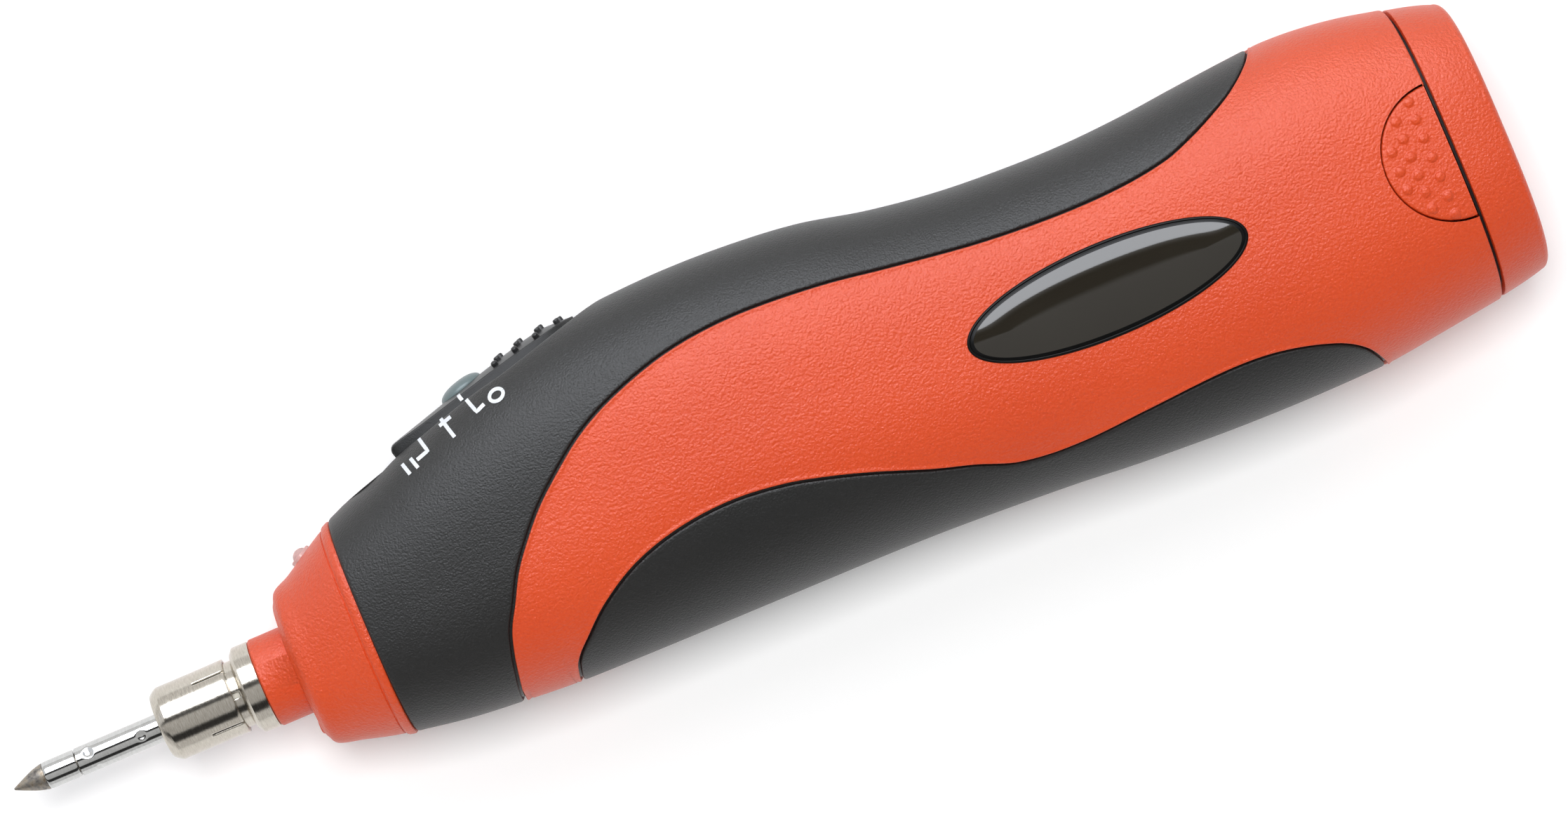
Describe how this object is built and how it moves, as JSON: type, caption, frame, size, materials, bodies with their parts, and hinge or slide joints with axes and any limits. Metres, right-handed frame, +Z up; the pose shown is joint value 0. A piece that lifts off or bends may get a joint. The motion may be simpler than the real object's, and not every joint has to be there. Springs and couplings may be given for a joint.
{
  "type": "cordless soldering iron",
  "caption": "Cordless soldering iron: split red handle with soft over-moulded grips, slide switch with heat button, batteries under a pull-off end cap and a slotted plug-in tip.",
  "frame": {"origin": "bottom centre of the bounding box, with the iron lying on its far side", "axes": "+X from the tip to the rear end, +Y to the side of the slide switch, +Z up, out of the side with the badge"},
  "size_m": [0.2214, 0.051, 0.041],
  "materials": {
    "red_plastic": "leather-grained red ABS",
    "soft_grip": "black over-moulded elastomer, fine grain",
    "black_plastic": "smooth black, satin",
    "badge_resin": "domed clear-coated badge, bare",
    "clear_lens": "clear LED body with a pale flange",
    "nickel": "nickel plated, brushed round",
    "polished_steel": "polished",
    "tip_metal": "dull grey with heat stains",
    "brass_contact": "brushed",
    "spring_steel": "bright",
    "screw_steel": "black oxide",
    "board_green": "solder mask",
    "white_ceramic": "unglazed",
    "wire_red": "PVC insulation",
    "cell_sleeve": "plain printed film, no marks",
    "button_grey": "grey-blue, satin",
    "seal_rubber": "matte"
  },
  "bodies": {
    "housing": {"housing_near": "red_plastic", "housing_far": "red_plastic", "nose_cap": "red_plastic", "grip_top_near": "soft_grip", "grip_top_far": "soft_grip", "grip_bottom_near": "soft_grip", "grip_bottom_far": "soft_grip", "badge_plate": "black_plastic", "badge_dome": "badge_resin", "led": "clear_lens", "switch_track": "black_plastic", "circuit_board": "board_green", "heat_switch": "spring_steel", "socket_ring": "nickel", "socket_insulator": "white_ceramic", "socket_pin": "brass_contact", "contact_plate": "black_plastic", "bay_contacts": "brass_contact", "housing_screws": "screw_steel", "battery_wires": "wire_red", "socket_wires": "wire_red"},
    "slide_switch": {"slide_switch": "black_plastic", "switch_carriage": "black_plastic", "switch_wiper": "brass_contact"},
    "heat_button": {"heat_button": "button_grey"},
    "release_near": {"release_near": "red_plastic"},
    "release_far": {"release_far": "red_plastic"},
    "end_cap": {"end_cap": "red_plastic", "cap_seal": "seal_rubber"},
    "battery_pack": {"battery_carrier": "black_plastic", "battery_cell_1": "cell_sleeve", "battery_cell_2": "cell_sleeve", "battery_cell_3": "cell_sleeve", "battery_cell_4": "cell_sleeve", "carrier_contacts": "spring_steel"},
    "tip": {"tip_bit": "tip_metal", "tip_sleeve": "polished_steel", "heater_tube": "polished_steel", "heater_core": "white_ceramic", "tip_barrel": "nickel", "tip_holder": "white_ceramic", "tip_rod": "brass_contact"}
  },
  "joints": [
    {"name": "switch_slide", "type": "slide", "parent": "housing", "child": "slide_switch", "axis": [-0.9613, -0.2756, 0], "range_m": [0, 0.0085]},
    {"name": "button_press", "type": "slide", "parent": "slide_switch", "child": "heat_button", "axis": [0.2756, -0.9613, 0], "range_m": [0, 0.0012], "stiffness_N_per_m": 600},
    {"name": "release_near_press", "type": "slide", "parent": "housing", "child": "release_near", "axis": [0, 0, -1], "range_m": [0, 0.0009], "stiffness_N_per_m": 1500, "springref_m": -0.00015},
    {"name": "release_far_press", "type": "slide", "parent": "housing", "child": "release_far", "axis": [0, 0, 1], "range_m": [0, 0.0009], "stiffness_N_per_m": 1500, "springref_m": -0.00015},
    {"name": "cap_pull", "type": "slide", "parent": "housing", "child": "end_cap", "axis": [1, 0, 0], "range_m": [0, 0.13]},
    {"name": "pack_pull", "type": "slide", "parent": "housing", "child": "battery_pack", "axis": [1, 0, 0], "range_m": [0, 0.065]},
    {"name": "tip_pull", "type": "slide", "parent": "housing", "child": "tip", "axis": [-1, 0, 0], "range_m": [0, 0.028]}
  ],
  "couplings": [
    {"joint": "pack_pull", "follows": "cap_pull", "ratio": 0.5}
  ]
}
